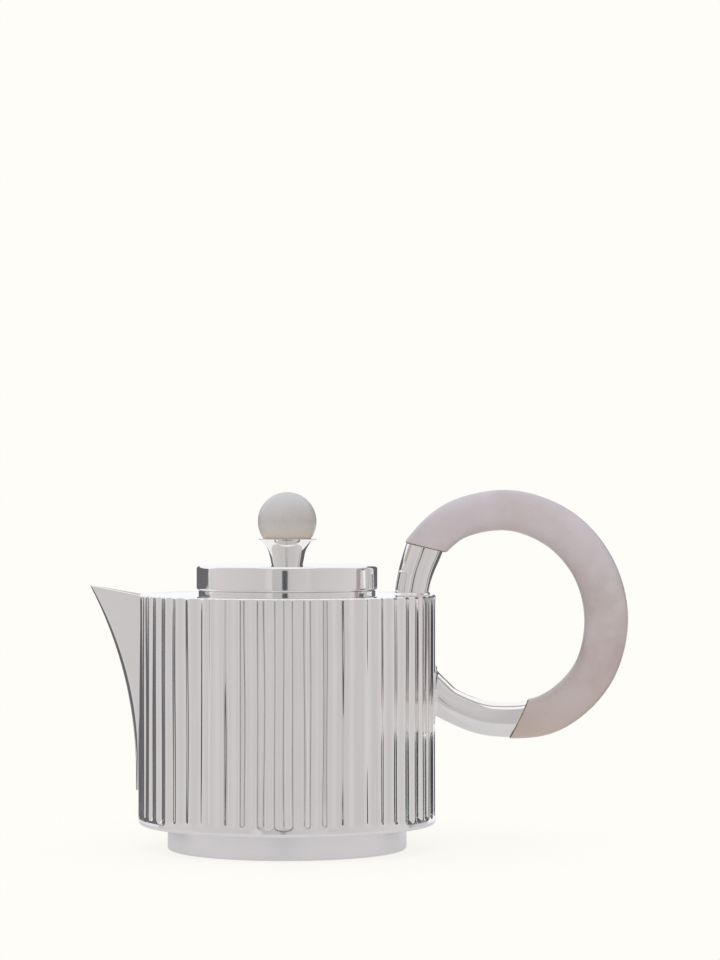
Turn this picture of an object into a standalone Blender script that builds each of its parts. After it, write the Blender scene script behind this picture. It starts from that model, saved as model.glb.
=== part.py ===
"""A silver teapot: a fluted round body on a plain foot, a prow spout, a lift-off lid and a stone ring handle.

Metres, +Z up. The origin is on the body's axis, on the surface that the foot stands on.
The spout points along -X and the handle along +X.
"""

import math

import bmesh
import bpy
from mathutils import Matrix, Vector

MM = 0.001
GAP = 0.3 * MM
SAME_POINT = GAP / 1000
TURN_STEPS = 52
SMALL_TURN_STEPS = 24
CORNER_STEPS = 3
ROD_SIDES = 12
SHARP_EDGE = math.radians(35)

# Foot and base
FOOT_RADIUS = 45.0 * MM
FOOT_WALL = 2.0 * MM
FOOT_HEIGHT = 9.2 * MM
FOOT_EDGE_ROUND = 0.8 * MM
FOOT_PLATE = 1.2 * MM
FOOT_VENT_RADIUS = 1.2 * MM
FOOT_VENT_AT = 30.0 * MM
TRAY_BOTTOM = FOOT_HEIGHT + GAP
TRAY_BAND = 2.1 * MM
TRAY_TURN_IN = 1.2 * MM
TRAY_FLOOR_RISE = 3.6 * MM
TRAY_SHEET = 1.2 * MM
TRAY_HOLLOW_RADIUS = FOOT_RADIUS - 3.0 * MM

# Fluted wall and the deck on top of it
BODY_RADIUS = 56.0 * MM
BODY_INNER_RADIUS = 53.9 * MM
FLUTE_COUNT = 52
FLUTE_DEPTH = 0.95 * MM
FLUTE_STEPS = 4
SCOOP_LENGTH = 3.2 * MM
SCOOP_STEPS = 4
DECK_TOP = 95.8 * MM
DECK_SHEET = 1.0 * MM
DECK_EDGE_ROUND = 0.6 * MM
WALL_BOTTOM = TRAY_BOTTOM + TRAY_BAND + GAP
WALL_TOP = DECK_TOP - DECK_SHEET - GAP

# Mouth and lid
COLLAR_RADIUS = 33.5 * MM
COLLAR_INNER_RADIUS = 31.4 * MM
COLLAR_BOTTOM = 92.0 * MM
COLLAR_TOP = 97.4 * MM
LID_SEAT = COLLAR_TOP + GAP
LID_RADIUS = 34.25 * MM
LID_HEIGHT = 9.1 * MM
LID_SHEET = 1.2 * MM
LID_EDGE_ROUND = 1.4 * MM
LID_LOWER_CHAMFER = 0.8 * MM
BEZEL_RADIUS = 31.0 * MM
BEZEL_WALL = 1.0 * MM
BEZEL_DEPTH = 7.5 * MM

# Knob
BALL_RADIUS = 11.15 * MM
BALL_CENTRE = 123.15 * MM
CUP_NECK_RADIUS = 5.9 * MM
CUP_TAPER = 2.0 * MM
CUP_RIM_RADIUS = 11.1 * MM
CUP_RIM = 116.8 * MM
CUP_FLARE_POWER = 5
CUP_FLARE_STEPS = 8
BALL_STEPS = 12
STUD_RADIUS = 2.0 * MM
STUD_HOLE_RADIUS = STUD_RADIUS + GAP
STUD_INTO_BALL = 6.6 * MM
WASHER_RADIUS = 5.0 * MM
WASHER_THICKNESS = 0.8 * MM
NUT_CORNER_RADIUS = 4.6 * MM
NUT_SIDES = 6
NUT_HEIGHT = 2.8 * MM
STUD_PAST_NUT = 0.6 * MM

# Spout: the keel is straight and upright at its foot, then an arc that leans out to the tip
SPOUT_BOTTOM = 22.0 * MM
SPOUT_TIP_TOP = 99.1 * MM
SPOUT_ROOT_TOP = 95.4 * MM
KEEL_FOOT_X = -57.0 * MM
KEEL_ARC_START = 28.3 * MM
KEEL_ARC_RADIUS = 153.0 * MM
KEEL_NOSE = 0.7 * MM
CHEEK_ROOT_X = -55.0 * MM
CHEEK_SLOPE = 0.53
CHEEK_SHEET = 1.1 * MM
SPOUT_INSIDE_X = -50.0 * MM
SPOUT_ROWS = 12
CHANNEL_BOTTOM = 60.0 * MM
CHANNEL_OVERRUN = 6.0 * MM
STRAINER_RADIUS = 1.5 * MM
STRAINER_PITCH = 4.6 * MM
STRAINER_TOP = 89.0 * MM
STRAINER_ROWS = 6
STRAINER_SIDES = 8

# Handle: its spine from the deck, over the top and round to the wall, as x, z and thickness in millimetres
HANDLE_SPINE = [
    (46.8, 93.5, 13.0),
    (47.2, 97.3, 13.0),
    (48.9, 105.2, 13.3),
    (51.8, 113.2, 14.1),
    (64.5, 124.0, 14.2),
    (84.5, 127.3, 14.8),
    (103.3, 119.9, 15.5),
    (116.0, 104.6, 15.7),
    (120.3, 84.8, 15.8),
    (114.6, 64.8, 14.9),
    (98.6, 50.8, 14.3),
    (77.6, 48.7, 13.1),
    (62.6, 53.5, 12.7),
    (55.7, 59.0, 12.5),
    (49.0, 66.0, 12.5),
]
HANDLE_SPAN_STEPS = 5
HANDLE_SIDES = 14
HANDLE_DEPTH_SHARE = 0.94
STONE_PROUD = 0.3 * MM
UPPER_SEAM = Vector((52.1 * MM, 0, 113.5 * MM))
UPPER_SEAM_FACING = math.radians(76.5)
LOWER_SEAM = Vector((87.2 * MM, 0, 48.6 * MM))
LOWER_SEAM_FACING = math.radians(-26.1)
SEAM_THICKNESS = 0.4 * MM
SEAM_GAP = 0.2 * MM
DOWEL_RADIUS = 1.8 * MM
DOWEL_LENGTH = 12.0 * MM
CUT_BLOCK = 44.0 * MM

SILVER = ((0.90, 0.89, 0.87), 0.12, 1.0)
SATIN_SILVER = ((0.86, 0.85, 0.83), 0.3, 1.0)
PINK_STONE = ((0.60, 0.51, 0.50), 0.35, 0.0)
PALE_STONE = ((0.66, 0.65, 0.62), 0.3, 0.0)
CEMENT = ((0.34, 0.25, 0.16), 0.6, 0.0)


def clear_scene():
    for obj in list(bpy.data.objects):
        bpy.data.objects.remove(obj, do_unlink=True)


def give_material(obj, look):
    colour, roughness, metallic = look
    material = bpy.data.materials.new(obj.name)
    material.use_nodes = True
    shader = material.node_tree.nodes["Principled BSDF"]
    shader.inputs["Base Color"].default_value = (*colour, 1.0)
    shader.inputs["Roughness"].default_value = roughness
    shader.inputs["Metallic"].default_value = metallic
    obj.data.materials.append(material)


def make_object(name, bm, look=None, at=(0, 0, 0), parent=None):
    """The mesh as a named object. One with no look is a cutter."""
    bmesh.ops.recalc_face_normals(bm, faces=bm.faces)
    mesh = bpy.data.meshes.new(name)
    bm.to_mesh(mesh)
    bm.free()
    mesh.shade_smooth()
    mesh.set_sharp_from_angle(angle=SHARP_EDGE)
    obj = bpy.data.objects.new(name, mesh)
    obj.location = at
    obj.parent = parent
    bpy.context.scene.collection.objects.link(obj)
    if look:
        give_material(obj, look)
    else:
        obj.hide_render = True
        obj.display_type = "WIRE"
    return obj


def turned(name, profile, look=None, at=(0, 0, 0), parent=None, steps=TURN_STEPS):
    """A profile of (radius, height) points turned about Z. One that starts off the axis is a closed loop."""
    bm = bmesh.new()
    points = [bm.verts.new((radius, 0, height)) for radius, height in profile]
    edges = [bm.edges.new(pair) for pair in zip(points, points[1:])]
    if profile[0][0] > 0:
        edges.append(bm.edges.new((points[-1], points[0])))
    bmesh.ops.spin(
        bm, geom=points + edges, cent=(0, 0, 0), axis=(0, 0, 1), angle=math.tau, steps=steps, use_merge=True
    )
    bmesh.ops.remove_doubles(bm, verts=bm.verts, dist=SAME_POINT)
    return make_object(name, bm, look, at, parent)


def lofted(rings, hollow=False):
    """Rings of equally many points, skinned in order. A hollow loft joins its last ring to its first."""
    bm = bmesh.new()
    loops = [[bm.verts.new(point) for point in ring] for ring in rings]
    pairs = list(zip(loops, loops[1:]))
    if hollow:
        pairs.append((loops[-1], loops[0]))
    else:
        bm.faces.new(loops[0])
        bm.faces.new(loops[-1])
    for lower, upper in pairs:
        for i in range(len(lower)):
            bm.faces.new((lower[i - 1], lower[i], upper[i], upper[i - 1]))
    return bm


def arc(centre_r, centre_z, radius, start, end, steps=CORNER_STEPS):
    """Points of a round stretch of a profile, by angles in degrees."""
    turns = [math.radians(start + (end - start) * i / steps) for i in range(steps + 1)]
    return [(centre_r + radius * math.cos(t), centre_z + radius * math.sin(t)) for t in turns]


def combine(obj, other, operation="DIFFERENCE"):
    modifier = obj.modifiers.new(other.name, "BOOLEAN")
    modifier.operation = operation
    modifier.object = other


def add_rod(bm, radius, start, end, sides=ROD_SIDES):
    """Adds a straight rod from start to end."""
    start = Vector(start)
    along = Vector(end) - start
    turn = along.to_track_quat("Z", "Y").to_matrix().to_4x4()
    bmesh.ops.create_cone(
        bm,
        cap_ends=True,
        segments=sides,
        radius1=radius,
        radius2=radius,
        depth=along.length,
        matrix=Matrix.Translation(start + along / 2) @ turn,
    )


def rod(radius, start, end):
    bm = bmesh.new()
    add_rod(bm, radius, start, end)
    return bm


def block(centre, size, facing):
    """A box whose own X axis is turned up from +X by facing, in the XZ plane."""
    bm = bmesh.new()
    place = Matrix.Translation(centre) @ Matrix.Rotation(-facing, 4, "Y")
    bmesh.ops.create_cube(bm, size=1, matrix=place @ Matrix.Diagonal((*size, 1)))
    return bm


def make_foot():
    inner = FOOT_RADIUS - FOOT_WALL
    corner = arc(FOOT_RADIUS - FOOT_EDGE_ROUND, FOOT_EDGE_ROUND, FOOT_EDGE_ROUND, 0, -90)
    turned("foot_ring", [(inner, FOOT_HEIGHT), (FOOT_RADIUS, FOOT_HEIGHT), *corner, (inner, 0)], SATIN_SILVER)
    edge = inner - GAP
    plate = turned("foot_plate", [(0, FOOT_PLATE), (edge, FOOT_PLATE), (edge, 0), (0, 0)], SATIN_SILVER)
    vent = rod(FOOT_VENT_RADIUS, (FOOT_VENT_AT, 0, -FOOT_PLATE), (FOOT_VENT_AT, 0, 2 * FOOT_PLATE))
    combine(plate, make_object("foot_vent", vent))


def make_base_tray():
    """The pot's bottom: a plain band that turns in to the foot, with a floor pressed up inside the wall."""
    step = BODY_INNER_RADIUS - GAP
    under_floor = TRAY_FLOOR_RISE - TRAY_SHEET
    turn_in = arc(BODY_RADIUS - TRAY_TURN_IN, TRAY_TURN_IN, TRAY_TURN_IN, 0, -90)
    profile = [
        (0, TRAY_FLOOR_RISE),
        (step, TRAY_FLOOR_RISE),
        (step, TRAY_BAND),
        (BODY_RADIUS, TRAY_BAND),
        *turn_in,
        (TRAY_HOLLOW_RADIUS, 0),
        (TRAY_HOLLOW_RADIUS, under_floor),
        (0, under_floor),
    ]
    turned("base_tray", profile, SILVER, at=(0, 0, TRAY_BOTTOM))


def flute_ring(height, depth):
    """One level of the wall's outside: crests on the body's radius, hollows of this depth between them."""
    count = FLUTE_COUNT * FLUTE_STEPS
    ring = []
    for i in range(count):
        turn = math.tau * i / count
        radius = BODY_RADIUS - depth * (0.5 + 0.5 * math.cos(FLUTE_COUNT * turn))
        ring.append((radius * math.cos(turn), radius * math.sin(turn), height))
    return ring


def round_ring(height, radius):
    count = FLUTE_COUNT * FLUTE_STEPS
    turns = [math.tau * i / count for i in range(count)]
    return [(radius * math.cos(t), radius * math.sin(t), height) for t in turns]


def make_wall():
    rings = [flute_ring(WALL_TOP, FLUTE_DEPTH)]
    for i in range(SCOOP_STEPS + 1):
        share = 1 - i / SCOOP_STEPS
        depth = FLUTE_DEPTH * math.sqrt(1 - (1 - share) ** 2)
        rings.append(flute_ring(WALL_BOTTOM + SCOOP_LENGTH * share, depth))
    rings.append(round_ring(WALL_BOTTOM, BODY_INNER_RADIUS))
    rings.append(round_ring(WALL_TOP, BODY_INNER_RADIUS))
    wall = make_object("body_wall", lofted(rings, hollow=True), SILVER)
    combine(wall, make_object("strainer_holes", strainer_holes()))


def strainer_holes():
    """Rods through the wall behind the spout, in rows that widen with the channel."""
    bm = bmesh.new()
    for row in range(STRAINER_ROWS):
        height = STRAINER_TOP - row * STRAINER_PITCH
        room = channel_half_width(height) - STRAINER_RADIUS
        beside = int(max(room, 0) / STRAINER_PITCH)
        for column in range(-beside, beside + 1):
            y = column * STRAINER_PITCH
            outside = (-BODY_RADIUS - GAP, y, height)
            add_rod(bm, STRAINER_RADIUS, outside, (SPOUT_INSIDE_X, y, height), STRAINER_SIDES)
    return bm


def make_deck():
    inner = COLLAR_RADIUS + GAP
    corner = arc(BODY_RADIUS - DECK_EDGE_ROUND, DECK_SHEET - DECK_EDGE_ROUND, DECK_EDGE_ROUND, 90, 0)
    profile = [(inner, DECK_SHEET), *corner, (BODY_RADIUS, 0), (inner, 0)]
    turned("top_plate", profile, SILVER, at=(0, 0, DECK_TOP - DECK_SHEET))
    height = COLLAR_TOP - COLLAR_BOTTOM
    collar = [
        (COLLAR_INNER_RADIUS, height),
        (COLLAR_RADIUS, height),
        (COLLAR_RADIUS, 0),
        (COLLAR_INNER_RADIUS, 0),
    ]
    turned("mouth_collar", collar, SILVER, at=(0, 0, COLLAR_BOTTOM))


def keel_x(height):
    """How far out the spout's leading edge is at this height."""
    rise = max(height - KEEL_ARC_START, 0)
    return KEEL_FOOT_X - KEEL_ARC_RADIUS + math.sqrt(KEEL_ARC_RADIUS**2 - rise**2)


def cheek_half_width(height):
    """Half the spout's width where its cheeks reach the wall."""
    return CHEEK_SLOPE * (CHEEK_ROOT_X - keel_x(height)) + KEEL_NOSE


def channel_half_width(height):
    return cheek_half_width(height) - CHEEK_SHEET * math.hypot(1, CHEEK_SLOPE)


def spout_ring(keel_height, root_height, inset):
    """One level of the spout, or of the channel inside it where inset is the sheet's thickness."""
    nose_x = keel_x(keel_height) + inset * math.hypot(1, 1 / CHEEK_SLOPE)
    half = cheek_half_width(root_height) - inset * math.hypot(1, CHEEK_SLOPE)
    nose_half = max(KEEL_NOSE - inset / 2, KEEL_NOSE / 4)
    side = [
        (nose_x, nose_half / 3, keel_height),
        (nose_x + nose_half, nose_half, keel_height),
        (CHEEK_ROOT_X, half, root_height),
        (SPOUT_INSIDE_X, half, root_height),
    ]
    return side + [(x, -y, z) for x, y, z in reversed(side)]


def make_spout():
    rings = []
    for i in range(SPOUT_ROWS + 1):
        share = i / SPOUT_ROWS
        keel_height = SPOUT_BOTTOM + share * (SPOUT_TIP_TOP - SPOUT_BOTTOM)
        root_height = SPOUT_BOTTOM + share * (SPOUT_ROOT_TOP - SPOUT_BOTTOM)
        rings.append(spout_ring(keel_height, root_height, 0))
    spout = make_object("spout_shell", lofted(rings), SILVER)
    channel = []
    for i in range(SPOUT_ROWS + 1):
        height = CHANNEL_BOTTOM + i / SPOUT_ROWS * (SPOUT_TIP_TOP + CHANNEL_OVERRUN - CHANNEL_BOTTOM)
        channel.append(spout_ring(height, height, CHEEK_SHEET))
    combine(spout, make_object("spout_channel", lofted(channel)))
    combine(spout, wall_cutter("spout_root"))


def wall_cutter(name):
    """The space of the body, a gap wider than its crests."""
    radius = BODY_RADIUS + GAP
    height = DECK_TOP + LID_HEIGHT
    return turned(name, [(0, height), (radius, height), (radius, 0), (0, 0)], steps=2 * TURN_STEPS)


def make_lid(seat):
    hole = STUD_HOLE_RADIUS
    inside = LID_RADIUS - LID_SHEET
    corner = arc(LID_RADIUS - LID_EDGE_ROUND, LID_HEIGHT - LID_EDGE_ROUND, LID_EDGE_ROUND, 90, 0)
    cap = [
        (hole, LID_HEIGHT),
        *corner,
        (LID_RADIUS, LID_LOWER_CHAMFER),
        (LID_RADIUS - LID_LOWER_CHAMFER, 0),
        (inside, 0),
        (inside, LID_HEIGHT - LID_SHEET),
        (hole, LID_HEIGHT - LID_SHEET),
    ]
    turned("lid_cap", cap, SILVER, parent=seat)
    edge = inside - GAP
    plate = [(hole, LID_SHEET), (edge, LID_SHEET), (edge, 0), (hole, 0)]
    turned("lid_underplate", plate, SATIN_SILVER, parent=seat)
    inner = BEZEL_RADIUS - BEZEL_WALL
    bezel = [(inner, 0), (BEZEL_RADIUS, 0), (BEZEL_RADIUS, -BEZEL_DEPTH), (inner, -BEZEL_DEPTH)]
    turned("lid_bezel", bezel, SATIN_SILVER, at=(0, 0, -GAP), parent=seat)


def make_knob(seat):
    ball = BALL_CENTRE - LID_SEAT
    stud_top = ball - BALL_RADIUS + STUD_INTO_BALL
    hole_half_turn = math.degrees(math.asin(STUD_HOLE_RADIUS / BALL_RADIUS))
    outside = arc(0, ball, BALL_RADIUS, 90, hole_half_turn - 90, BALL_STEPS)
    outside[0] = (0, ball + BALL_RADIUS)
    blind = stud_top + GAP
    profile = [*outside, (STUD_HOLE_RADIUS, blind), (0, blind)]
    turned("knob_ball", profile, PALE_STONE, parent=seat, steps=SMALL_TURN_STEPS)

    base = LID_HEIGHT + GAP
    rim = CUP_RIM - LID_SEAT
    flare = []
    flare_width = CUP_RIM_RADIUS - CUP_NECK_RADIUS - CUP_TAPER
    for i in range(CUP_FLARE_STEPS + 1):
        share = 1 - i / CUP_FLARE_STEPS
        radius = CUP_NECK_RADIUS + CUP_TAPER * share + flare_width * share**CUP_FLARE_POWER
        flare.append((radius, base + (rim - base) * share))
    seat_radius = BALL_RADIUS + GAP
    lowest = math.degrees(math.asin(STUD_HOLE_RADIUS / seat_radius)) - 90
    highest = math.degrees(math.asin((rim - ball) / seat_radius))
    dish = arc(0, ball, seat_radius, lowest, highest)
    profile = [*flare, (STUD_HOLE_RADIUS, base), *dish]
    turned("knob_cup", profile, SILVER, parent=seat, steps=SMALL_TURN_STEPS)

    washer_top = -GAP
    washer_bottom = washer_top - WASHER_THICKNESS
    washer = [
        (STUD_HOLE_RADIUS, washer_top),
        (WASHER_RADIUS, washer_top),
        (WASHER_RADIUS, washer_bottom),
        (STUD_HOLE_RADIUS, washer_bottom),
    ]
    turned("knob_washer", washer, SATIN_SILVER, parent=seat, steps=SMALL_TURN_STEPS)
    nut_top = washer_bottom - GAP
    nut_bottom = nut_top - NUT_HEIGHT
    profile = [(0, nut_top), (NUT_CORNER_RADIUS, nut_top), (NUT_CORNER_RADIUS, nut_bottom), (0, nut_bottom)]
    nut = turned("knob_nut", profile, SATIN_SILVER, parent=seat, steps=NUT_SIDES)
    hole = rod(STUD_HOLE_RADIUS, (0, 0, nut_bottom - GAP), (0, 0, nut_top + GAP))
    combine(nut, make_object("nut_hole", hole, parent=seat))
    stud_bottom = nut_bottom - STUD_PAST_NUT
    stud = [(0, stud_top), (STUD_RADIUS, stud_top), (STUD_RADIUS, stud_bottom), (0, stud_bottom)]
    turned("knob_stud", stud, SATIN_SILVER, parent=seat, steps=ROD_SIDES)


def spline(a, b, c, d, t):
    """Place and slope at share t of the span from b to c, on a smooth curve through a, b, c and d."""
    square = 2 * a - 5 * b + 4 * c - d
    cube = 3 * b - a - 3 * c + d
    place = b + 0.5 * ((c - a) * t + square * t**2 + cube * t**3)
    slope = 0.5 * (c - a + 2 * square * t + 3 * cube * t**2)
    return place, slope


def spine_samples():
    """Points of a smooth curve through the spine, each as place, direction and half the thickness there."""
    stations = [Vector(station) * MM for station in HANDLE_SPINE]
    stations.insert(0, 2 * stations[0] - stations[1])
    stations.append(2 * stations[-1] - stations[-2])
    samples = []
    for a, b, c, d in zip(stations, stations[1:], stations[2:], stations[3:]):
        for step in range(HANDLE_SPAN_STEPS):
            here, slope = spline(a, b, c, d, step / HANDLE_SPAN_STEPS)
            along = Vector((slope.x, 0, slope.y)).normalized()
            samples.append((Vector((here.x, 0, here.y)), along, here.z / 2))
    return samples


def swept(samples, grow):
    """A round bar along these samples, thicker than the spine's own thickness by grow all round."""
    rings = []
    for place, along, half in samples:
        across = Vector((along.z, 0, -along.x))
        ring = []
        for i in range(HANDLE_SIDES):
            turn = math.tau * i / HANDLE_SIDES
            side = Vector((0, HANDLE_DEPTH_SHARE * math.sin(turn), 0))
            ring.append(place + (half + grow) * (across * math.cos(turn) + side))
        rings.append(ring)
    return lofted(rings)


def nearest(samples, place):
    return min(range(len(samples)), key=lambda i: (samples[i][0] - place).length)


def beyond_seam(name, seam, facing, side):
    """What a piece that ends at a seam loses: a block on the stone's side of it, or on the silver's."""
    outward = Vector((math.cos(facing), 0, math.sin(facing)))
    shift = side * (CUT_BLOCK / 2 - SEAM_THICKNESS / 2 - SEAM_GAP)
    return make_object(name, block(seam + outward * shift, (CUT_BLOCK, CUT_BLOCK, CUT_BLOCK), facing))


def make_seam(where, seam, facing, samples, dowel_hole):
    close_to = nearest(samples, seam)
    around = samples[close_to - HANDLE_SPAN_STEPS : close_to + HANDLE_SPAN_STEPS + 1]
    plate = make_object(f"handle_{where}_seam", swept(around, 0), CEMENT)
    slab = block(seam, (SEAM_THICKNESS, CUT_BLOCK, CUT_BLOCK), facing)
    combine(plate, make_object(f"{where}_slab", slab), "INTERSECT")
    combine(plate, dowel_hole)


def make_dowel(where, seam, samples):
    """The dowel across a seam, and the hole that it sits in."""
    along = samples[nearest(samples, seam)][1]
    half = along * DOWEL_LENGTH / 2
    make_object(f"handle_{where}_dowel", rod(DOWEL_RADIUS, seam - half, seam + half), SATIN_SILVER)
    longer = half + along * GAP
    hole = rod(DOWEL_RADIUS + GAP, seam - longer, seam + longer)
    return make_object(f"{where}_dowel_hole", hole)


def make_handle():
    samples = spine_samples()
    past = HANDLE_SPAN_STEPS
    upper = nearest(samples, UPPER_SEAM)
    lower = nearest(samples, LOWER_SEAM)
    upper_hole = make_dowel("upper", UPPER_SEAM, samples)
    lower_hole = make_dowel("lower", LOWER_SEAM, samples)
    make_seam("upper", UPPER_SEAM, UPPER_SEAM_FACING, samples, upper_hole)
    make_seam("lower", LOWER_SEAM, LOWER_SEAM_FACING, samples, lower_hole)

    stone = swept(samples[upper - past : lower + past + 1], STONE_PROUD)
    grip = make_object("handle_grip", stone, PINK_STONE)
    combine(grip, beyond_seam("grip_upper_end", UPPER_SEAM, UPPER_SEAM_FACING, -1))
    combine(grip, beyond_seam("grip_lower_end", LOWER_SEAM, LOWER_SEAM_FACING, -1))
    combine(grip, upper_hole)
    combine(grip, lower_hole)

    upper_arm = make_object("handle_upper_arm", swept(samples[: upper + past + 1], 0), SILVER)
    combine(upper_arm, beyond_seam("upper_arm_end", UPPER_SEAM, UPPER_SEAM_FACING, 1))
    under_arm = Vector((HANDLE_SPINE[0][0] * MM, 0, DECK_TOP + GAP - CUT_BLOCK / 2))
    below_deck = block(under_arm, (CUT_BLOCK, CUT_BLOCK, CUT_BLOCK), 0)
    combine(upper_arm, make_object("below_deck", below_deck))
    combine(upper_arm, upper_hole)

    lower_arm = make_object("handle_lower_arm", swept(samples[lower - past :], 0), SILVER)
    combine(lower_arm, beyond_seam("lower_arm_end", LOWER_SEAM, LOWER_SEAM_FACING, 1))
    combine(lower_arm, wall_cutter("lower_arm_root"))
    combine(lower_arm, lower_hole)


def main():
    clear_scene()
    make_foot()
    make_base_tray()
    make_wall()
    make_deck()
    make_spout()
    seat = bpy.data.objects.new("lid_seat", None)
    seat.location = (0, 0, LID_SEAT)
    bpy.context.scene.collection.objects.link(seat)
    make_lid(seat)
    make_knob(seat)
    make_handle()


main()
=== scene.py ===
"""The looks of a silver teapot with a stone ring handle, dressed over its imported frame.

Metres, +Z up, in the frame's own axes: the spout points along -X, the handle along +X,
and the photographed side faces -Y.
"""

import math
import random

import bmesh
import bpy
import numpy as np
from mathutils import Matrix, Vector


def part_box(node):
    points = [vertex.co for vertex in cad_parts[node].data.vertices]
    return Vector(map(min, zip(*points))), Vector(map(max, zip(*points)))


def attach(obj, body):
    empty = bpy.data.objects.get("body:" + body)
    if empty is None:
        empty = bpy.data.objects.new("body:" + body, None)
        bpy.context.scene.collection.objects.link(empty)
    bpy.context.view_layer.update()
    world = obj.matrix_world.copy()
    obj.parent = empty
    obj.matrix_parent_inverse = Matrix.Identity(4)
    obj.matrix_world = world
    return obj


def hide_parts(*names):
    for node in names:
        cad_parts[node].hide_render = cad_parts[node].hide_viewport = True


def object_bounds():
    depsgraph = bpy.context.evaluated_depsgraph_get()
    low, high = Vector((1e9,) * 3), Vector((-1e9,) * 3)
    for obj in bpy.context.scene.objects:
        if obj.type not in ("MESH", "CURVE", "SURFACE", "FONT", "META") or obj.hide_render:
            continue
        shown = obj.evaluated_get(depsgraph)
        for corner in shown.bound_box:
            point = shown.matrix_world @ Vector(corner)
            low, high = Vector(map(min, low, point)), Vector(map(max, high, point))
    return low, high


MM = 0.001
SAME_POINT = 1e-7
SHARP_EDGE = math.radians(38)
SEED = 52

# Camera: the photograph's size, where the body's axis and the ground show in it, and its scale
PHOTO_WIDTH = 720
PHOTO_HEIGHT = 960
AXIS_COLUMN = 287.2
GROUND_ROW = 848.0
PIXEL = 0.3772 * MM
CAMERA_PIXELS_AWAY = 3400
SENSOR = 36.0

# Studio: grey panels by degrees round from the camera's side, to the right, with their level at both ends
WARM_GREY = (1.0, 0.972, 0.970)
FRONT_PANELS = [
    (-114, -27, 0.66, 0.58),
    (-26, -18, 0.63, 0.68),
    (-17, 4, 0.51, 0.53),
    (5, 29, 0.56, 0.61),
    (32, 112, 0.57, 0.68),
]
PANEL_EDGE = 1
PANEL_DISTANCE = 1.32
PANEL_TOP = PANEL_DISTANCE * math.tan(math.radians(70))
PANEL_BOTTOM = -PANEL_DISTANCE * math.tan(math.radians(23))
HORIZON_BLUR = 0.01
BACKDROP = (0.96, 0.97, 0.98)
OVERHEAD = (0.99, 1.0, 1.02)
TABLE = (0.64, 0.62, 0.615)
TENT_ABOVE = (0.99, 1.02, 1.10)
TENT_BELOW = (1.06, 0.99, 0.91)
CREAM = (0.991, 0.982, 0.939)

# Dark cloths of the studio: degrees round at both ends, lowest and highest place, and tone
CLOTHS = [
    ("left_cloth", -166, -116, -0.117, 0.40, (0.14, 0.135, 0.145)),
    ("left_side_cloth", -116, -107, -0.117, 0.048, (0.12, 0.115, 0.125)),
    ("left_nose_cloth", -116, -97, -2.0, -0.132, (0.14, 0.135, 0.145)),
    ("left_low_cloth", -166, -116, -2.0, -0.132, (0.14, 0.135, 0.145)),
    ("right_side_cloth", 107, 138, -0.027, 0.048, (0.07, 0.068, 0.075)),
    ("right_side_low_cloth", 107, 138, -0.117, -0.052, (0.07, 0.068, 0.075)),
    ("right_cloth", 131, 164, 0.048, 0.75, (0.13, 0.125, 0.135)),
    ("right_upper_cloth", 107, 131, 0.09, 0.75, (0.13, 0.125, 0.135)),
    ("right_low_cloth", 107, 164, -2.0, -0.132, (0.13, 0.125, 0.135)),
    ("camera_stand", -3.6, 0.6, -0.117, 0.048, (0.09, 0.09, 0.10)),
    ("camera_gap", -5, 2, 0.048, 0.22, (0.09, 0.09, 0.10)),
    ("above_the_camera", -4, 1, 0.22, 0.75, (0.33, 0.33, 0.345)),
]
CLOTH_DISTANCE = PANEL_DISTANCE - 0.01
CLOTH_STEPS = 24

# Lamp and floor
LAMP_PLACE = (-0.35, -0.55, 1.0)
LAMP_SIZE = 1.0
LAMP_POWER = 2.0
FLOOR_RADIUS = 0.165
FLOOR_FADE_START = 0.095
FLOOR_MATTE = (0.149, 0.144, 0.130)
FLOOR_GLOW = 0.843
FLOOR_IN_METAL = (0.53, 0.515, 0.53)
FLOOR_TO_STONE = (1.18, 1.12, 1.08)

# Surfaces: marks to the metre, heights of relief, and the tones of the bond
SILVER_CLOUDS = 55
WIPE_MARKS = 900
SLOW_RIPPLES = 70
STONE_CLOUDS = 62
STONE_VEILS = 48
STONE_STAINS = 34
STONE_GRAIN = 420
STONE_RELIEF = 0.02 * MM
BOND_GRAIN = 700
BOND_RELIEF = 0.05 * MM
BOND_DARK = (0.17, 0.115, 0.07)
BOND_LIGHT = (0.33, 0.24, 0.16)

# Turned pieces: steps round, steps of a rounded corner, and the flat beside it as a share of its rounding
TURN_STEPS = 192
SMALL_TURN_STEPS = 96
CORNER_STEPS = 8
FLAT_KEEPER = 0.1
EDGE_ROUND = 0.3 * MM

# Foot and bottom of the pot
FOOT_ROUND = 0.9 * MM
TRAY_SHEET = 1.2 * MM
TRAY_HOLLOW_INSET = 3.0 * MM
TRAY_CLEARANCE = 0.3 * MM
TRAY_ROUND = 1.3 * MM

# Flutes of the wall
FLUTE_COUNT = 52
FLUTE_DEPTH = 0.79 * MM
FLUTE_COLUMNS = 24
FLUTE_ROWS = 40
QUARTER_PITCH = 0.25
PARABOLA = 0.5 / QUARTER_PITCH**2
SCOOP_LENGTH = 2.2 * MM
SCOOP_ROWS = 14
HAND_WAVES = (2, 5, 9, 13, 18, 23)
HAND_SHIFT = 0.0034
HAND_DEPTH = 0.11
HAND_TURNS_PER_METRE = 14
WALL_SHEET = 2.1 * MM
DECK_ROUND = 0.9 * MM
DECK_ROUND_STEPS = 6

# Strainer holes behind the spout
STRAINER_RADIUS = 1.5 * MM
STRAINER_PITCH = 4.6 * MM
STRAINER_TOP = 89.0 * MM
STRAINER_ROWS = 6
STRAINER_SIDES = 24
STRAINER_PAST_OUTSIDE = 1.0 * MM
STRAINER_PAST_INSIDE = 3.0 * MM

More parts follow.
